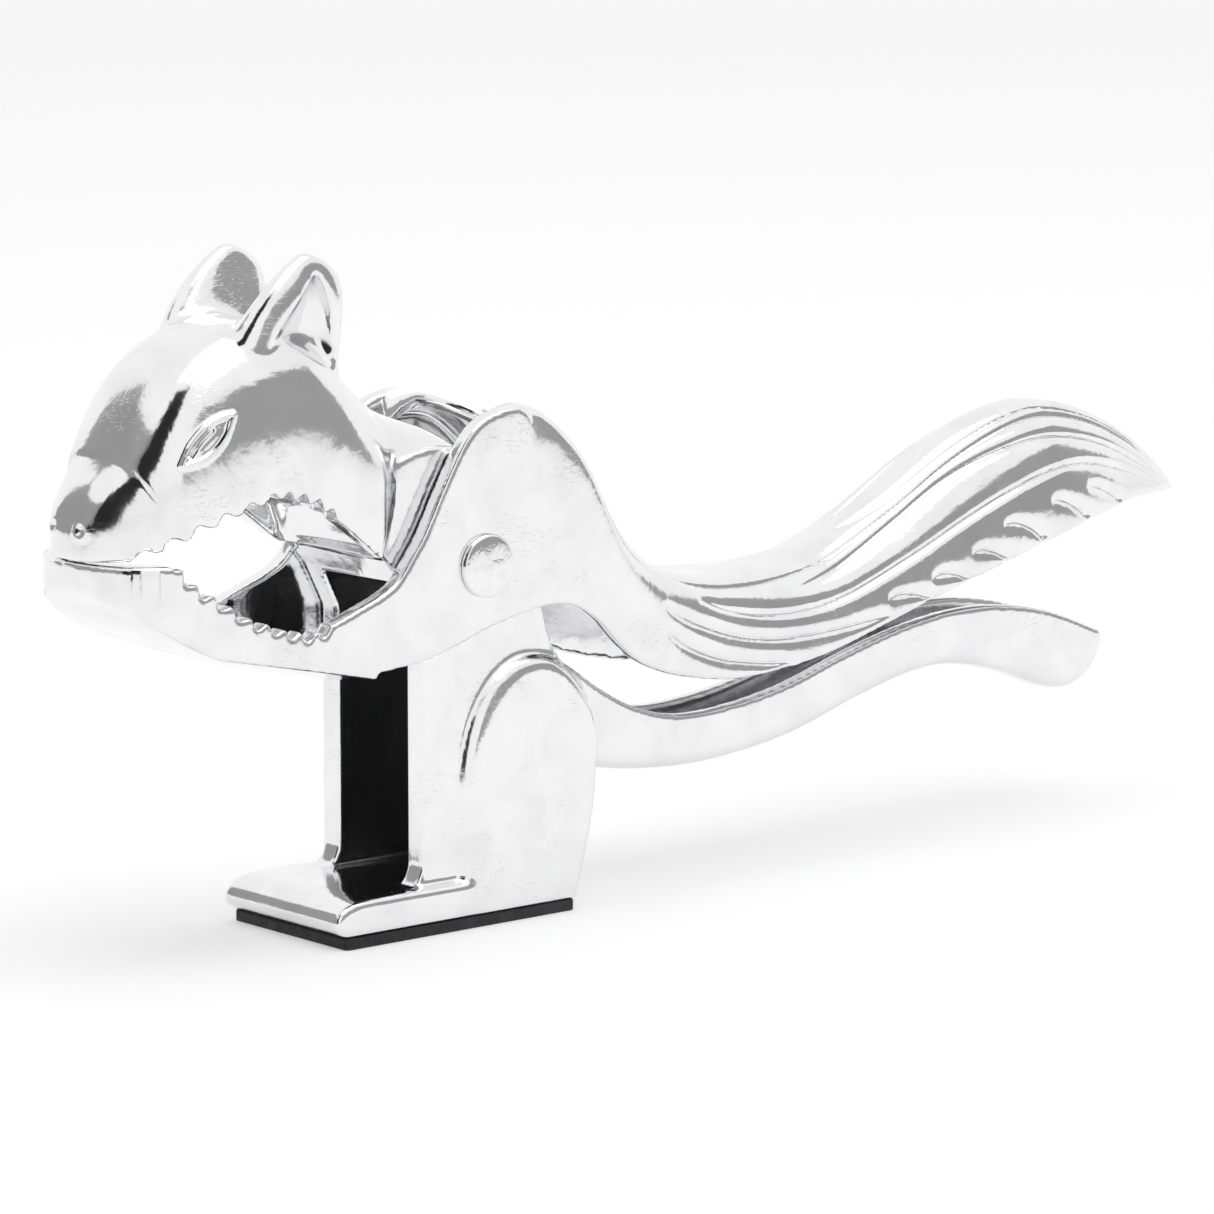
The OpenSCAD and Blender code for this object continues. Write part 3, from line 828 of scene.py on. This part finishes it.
def leverCasting():
    inY, outY = common["leverInY"], common["leverOutY"]
    wallFrom = jaw["wallFrom"]
    front = [p for p in smoothLine(jaw["wallFront"], 8) if p[0] > wallFrom]
    wallSide = [[wallFrom, -2.8]] + front + [[10, 21.2], [10.5, 20], [10.5, -7.5]] \
        + smoothLine(jaw["wallLow"], 6)
    walls = mirrored(plate(wallSide, -outY, -inY, 0.3))
    lever = gather("leverCasting", lowerJaw(), walls, tailShell())
    melt(lever, common["grain"], 2)
    cut(lever, pin(inY, 40, (jaw["slotX"], 0, 0), Matrix.Identity(4), 128))
    return lever


def tailLine(points, steps=6):
    line = []
    for x, share in smoothLine(points, steps):
        share = min(max(share, 0.0), 1.0)
        e = 2 / float(squareAt(x))
        s = min(share ** (1 / e), 1.0)
        line.append(list(archPoint(x, math.asin(s))))
    return line


def workTail(lever):
    partings = [tailLine(p) for p in tail["partings"]]
    nicks = []
    for x, share in tail["nicks"]:
        for shift, size in ((0, 1.0), (1.3, 0.72)):
            line = [[x + shift, share - 0.02 * shift], [x + 3 + shift, share - 0.03 - 0.03 * shift],
                    [x + 6.5 + shift * 0.6, share - 0.13], [x + 9 + shift * 0.4, share - 0.24]]
            nicks.append((tailLine(line), size))
    refine(lever, partings + [n for n, _ in nicks], 1.5)

    def hair(p):
        out = np.zeros(len(p))
        inPlay = p[:, 0] > 30
        q = p[inPlay]
        depth = np.zeros(len(q))
        for line in partings:
            gap, share = toLine(q, line)
            ends = np.clip(np.minimum(share, 1 - share) / 0.12, 0, 1) ** 0.7
            depth = np.maximum(depth, tail["partingDepth"] * np.exp(-gap / 0.62) * ends)
        for line, size in nicks:
            gap, share = toLine(q, line)
            ends = np.clip(share / 0.25, 0, 1) ** 0.7
            depth = np.maximum(depth, tail["nickDepth"] * size * np.exp(-gap / 0.55) * ends)
        # only the outer skin is worked
        x, low = q[:, 0], rimAt(q[:, 0])
        share = np.clip((q[:, 2] - low) / np.maximum(crestAt(x) - low, 0.5), 0, 1)
        power = squareAt(x)
        ring = np.abs(q[:, 1] / np.maximum(halfAt(x), 0.5)) ** power + share ** power
        depth *= np.clip((ring - 0.72) / 0.16, 0, 1)
        out[inPlay] = -depth
        return out
    push(lever, hair)


lever = leverCasting()
print("lever cast")
workTail(lever)
thin(lever, common["mostTriangles"])
markPaintedShade(lever)
finishPiece(lever, "lever", "lever_casting", castingFinish)

# Rivet: shank and two flat domed heads, a little beaten on the closed side

rivet = {
    "shank": 3.0,
    "head": 4.6,
    "height": 1.3,
    "under": 14.9,        # half width between the undersides of the heads
    "dents": [(0.8, 1.4, 1.3, 0.10), (-1.6, 0.4, 1.1, 0.08), (1.9, -1.2, 0.8, 0.07),
              (-0.6, -2.0, 1.4, 0.09)],    # x, z, radius, depth of the flats the press leaves
}


def rivetPiece():
    head, under = rivet["head"], rivet["under"]
    profile = [[rivet["shank"], under], [head - 0.15, under], [head, under + 0.15], [head, under + 0.5],
               [head - 0.12, under + 0.75], [head - 0.45, under + 0.93], [head - 1.1, under + 1.05],
               [head * 0.5, under + 1.2], [head * 0.25, under + 1.28], [0, under + rivet["height"]]]
    bm = bmesh.new()
    verts = [bm.verts.new((r, -y, 0)) for r, y in smoothLine(profile, 3)]
    shank = bm.verts.new((rivet["shank"], 0, 0))
    edges = [bm.edges.new((shank, verts[0]))] + [bm.edges.new(pair) for pair in zip(verts, verts[1:])]
    bmesh.ops.spin(bm, geom=[shank] + verts + edges, cent=(0, 0, 0), axis=(0, 1, 0),
                   angle=2 * math.pi, steps=72, use_merge=True)
    bmesh.ops.remove_doubles(bm, verts=bm.verts, dist=1e-4)
    bmesh.ops.mirror(bm, geom=bm.verts[:] + bm.edges[:] + bm.faces[:], axis="Y", merge_dist=1e-4)
    bmesh.ops.remove_doubles(bm, verts=bm.verts, dist=1e-4)
    bmesh.ops.recalc_face_normals(bm, faces=bm.faces)
    for v in bm.verts:
        if abs(v.co.y) > under + 0.9:
            fall = sum(d * math.exp(-((v.co.x - x) ** 2 + (v.co.z - z) ** 2) / r ** 2)
                       for x, z, r, d in rivet["dents"])
            v.co.y -= math.copysign(fall, v.co.y)
    bmesh.ops.translate(bm, vec=(hingeX, 0, 0), verts=bm.verts)
    return asObject(bm, "pivotRivet")


finishPiece(rivetPiece(), "stand", "pivot_rivet", rivetFinish)

# Pad: moulded rubber with soft corners

pad = {"corner": 0.9, "edge": 0.25}


def footPad():
    low, high = padLow * 1000, padHigh * 1000
    bm = bmesh.new()
    bmesh.ops.create_cube(bm, size=1)
    bmesh.ops.scale(bm, vec=high - low, verts=bm.verts)
    bmesh.ops.translate(bm, vec=(low + high) / 2 - datum * 1000, verts=bm.verts)
    upright = [e for e in bm.edges if abs(e.verts[0].co.z - e.verts[1].co.z) > 0.5]
    bmesh.ops.bevel(bm, geom=upright, offset=pad["corner"], segments=5, profile=0.5,
                    affect="EDGES", material=-1)
    flat = [e for e in bm.edges if e.is_manifold and abs(e.verts[0].co.z - e.verts[1].co.z) < 1e-4
            and abs(e.calc_face_angle(0)) > 1.0]
    bmesh.ops.bevel(bm, geom=flat, offset=pad["edge"], segments=3, profile=0.5,
                    affect="EDGES", material=-1)
    return asObject(bm, "footPad")


finishPiece(footPad(), "stand", "foot_pad", padFinish)
print("pieces in place")

# Studio

studio = {
    "camera": (-0.5129, -0.6503, 0.1841),
    "azimuth": 40.3,
    "elevation": 9.5,
    "lens": 172.0,
    "floorTone": 0.82,
    "floorLift": 0.34,
    "air": (0.6, 0.8),    # the soft grey that lights everything, least and most
    "cards": {
        "darkCard": {"bearing": -153, "reach": 17, "high": 2.9, "away": 1.6, "tone": 0.03},
        "greyCard": {"bearing": 150, "reach": 40, "high": 1.5, "away": 1.9, "tone": 0.55},
        "sideCard": {"bearing": -60, "reach": 40, "high": 1.1, "away": 1.9, "tone": 0.6},
    },
    "light": {"place": (0.1, -0.2, 1.3), "aim": (0.03, 0, 0.05), "size": (1.1, 1.1), "power": 5},
}


def whiteRays(tree):
    # one for the rays that meet the plain white background: to the eye, mirrored or through glass
    ray = tree.nodes.new("ShaderNodeLightPath")
    seen = maths(tree, "MAXIMUM", ray.outputs["Is Camera Ray"], ray.outputs["Is Transmission Ray"])
    return maths(tree, "MAXIMUM", seen, ray.outputs["Is Glossy Ray"])


def whiteFloor():
    bm = bmesh.new()
    bmesh.ops.create_grid(bm, x_segments=1, y_segments=1, size=6)
    mesh = bpy.data.meshes.new("studioFloor")
    bm.to_mesh(mesh)
    bm.free()
    floor = bpy.data.objects.new("studioFloor", mesh)
    bpy.context.scene.collection.objects.link(floor)
    material = bpy.data.materials.new("floorPaper")
    material.use_nodes = True
    tree = material.node_tree
    tree.nodes.clear()
    leave = tree.nodes.new("ShaderNodeOutputMaterial")
    paper = joined(tree, "ShaderNodeBsdfDiffuse", Color=(studio["floorTone"],) * 3 + (1,))
    lift = joined(tree, "ShaderNodeEmission", Color=(1, 1, 1, 1),
                  Strength=maths(tree, "MULTIPLY", whiteRays(tree), studio["floorLift"]))
    both = tree.nodes.new("ShaderNodeAddShader")
    tree.links.new(paper.outputs[0], both.inputs[0])
    tree.links.new(lift.outputs[0], both.inputs[1])
    tree.links.new(both.outputs[0], leave.inputs["Surface"])
    mesh.materials.append(material)


def studioAir():
    # white to the eye and in the metal, a soft grey for the light that falls on everything
    world = bpy.data.worlds.new("studioAir")
    bpy.context.scene.world = world
    world.use_nodes = True
    tree = world.node_tree
    tree.nodes.clear()
    leave = tree.nodes.new("ShaderNodeOutputWorld")
    way = tree.nodes.new("ShaderNodeTexCoord").outputs["Generated"]
    soft = joined(tree, "ShaderNodeTexNoise", Vector=way, Scale=2.4, Detail=1.0).outputs["Fac"]
    level = ramp(tree, soft, 0.35, 0.65, *studio["air"])
    strength = joined(tree, "ShaderNodeMix", i0=whiteRays(tree))
    tree.links.new(level, strength.inputs[2])
    strength.inputs[3].default_value = 1.0
    air = joined(tree, "ShaderNodeBackground", Color=(1, 1, 1, 1), Strength=strength.outputs[0])
    tree.links.new(air.outputs[0], leave.inputs["Surface"])


def studioCard(name, bearing, reach, high, away, tone):
    # an upright bowed card standing on the floor, for the plating to mirror
    card = bmesh.new()
    bmesh.ops.create_grid(card, x_segments=24, y_segments=2, size=1)
    for v in card.verts:
        turn = math.radians(bearing + reach * v.co.x)
        v.co = Vector((away * math.cos(turn), away * math.sin(turn), 0.02 + high * (v.co.y + 1) / 2))
    mesh = bpy.data.meshes.new(name)
    card.to_mesh(mesh)
    card.free()
    board = bpy.data.objects.new(name, mesh)
    bpy.context.scene.collection.objects.link(board)
    material = bpy.data.materials.new(name + "Paint")
    material.use_nodes = True
    paint = material.node_tree.nodes["Principled BSDF"]
    paint.inputs["Base Color"].default_value = (tone, tone, tone, 1)
    paint.inputs["Roughness"].default_value = 1.0
    paint.inputs["Specular IOR Level"].default_value = 0.0
    mesh.materials.append(material)
    board.visible_camera = False
    board.visible_shadow = False


def softLight(name, place, aim, size, power):
    data = bpy.data.lights.new(name, "AREA")
    data.shape = "RECTANGLE"
    data.size, data.size_y = size
    data.energy = power
    lamp = bpy.data.objects.new(name, data)
    bpy.context.scene.collection.objects.link(lamp)
    lamp.location = place
    lamp.rotation_euler = (Vector(aim) - Vector(place)).to_track_quat("-Z", "Y").to_euler()


whiteFloor()
studioAir()
for name, card in studio["cards"].items():
    studioCard(name, **card)
softLight("topLight", **studio["light"])

cameraData = bpy.data.cameras.new("camera")
cameraData.lens = studio["lens"]
cameraData.sensor_width = 36
cameraData.clip_start = 0.01
camera = bpy.data.objects.new("camera", cameraData)
bpy.context.scene.collection.objects.link(camera)
camera.location = studio["camera"]
az, el = math.radians(studio["azimuth"]), math.radians(studio["elevation"])
forward = Vector((math.sin(az) * math.cos(el), math.cos(az) * math.cos(el), -math.sin(el)))
camera.rotation_euler = forward.to_track_quat("-Z", "Y").to_euler()
bpy.context.scene.camera = camera
bpy.context.scene.view_settings.view_transform = "Standard"
print("studio set")
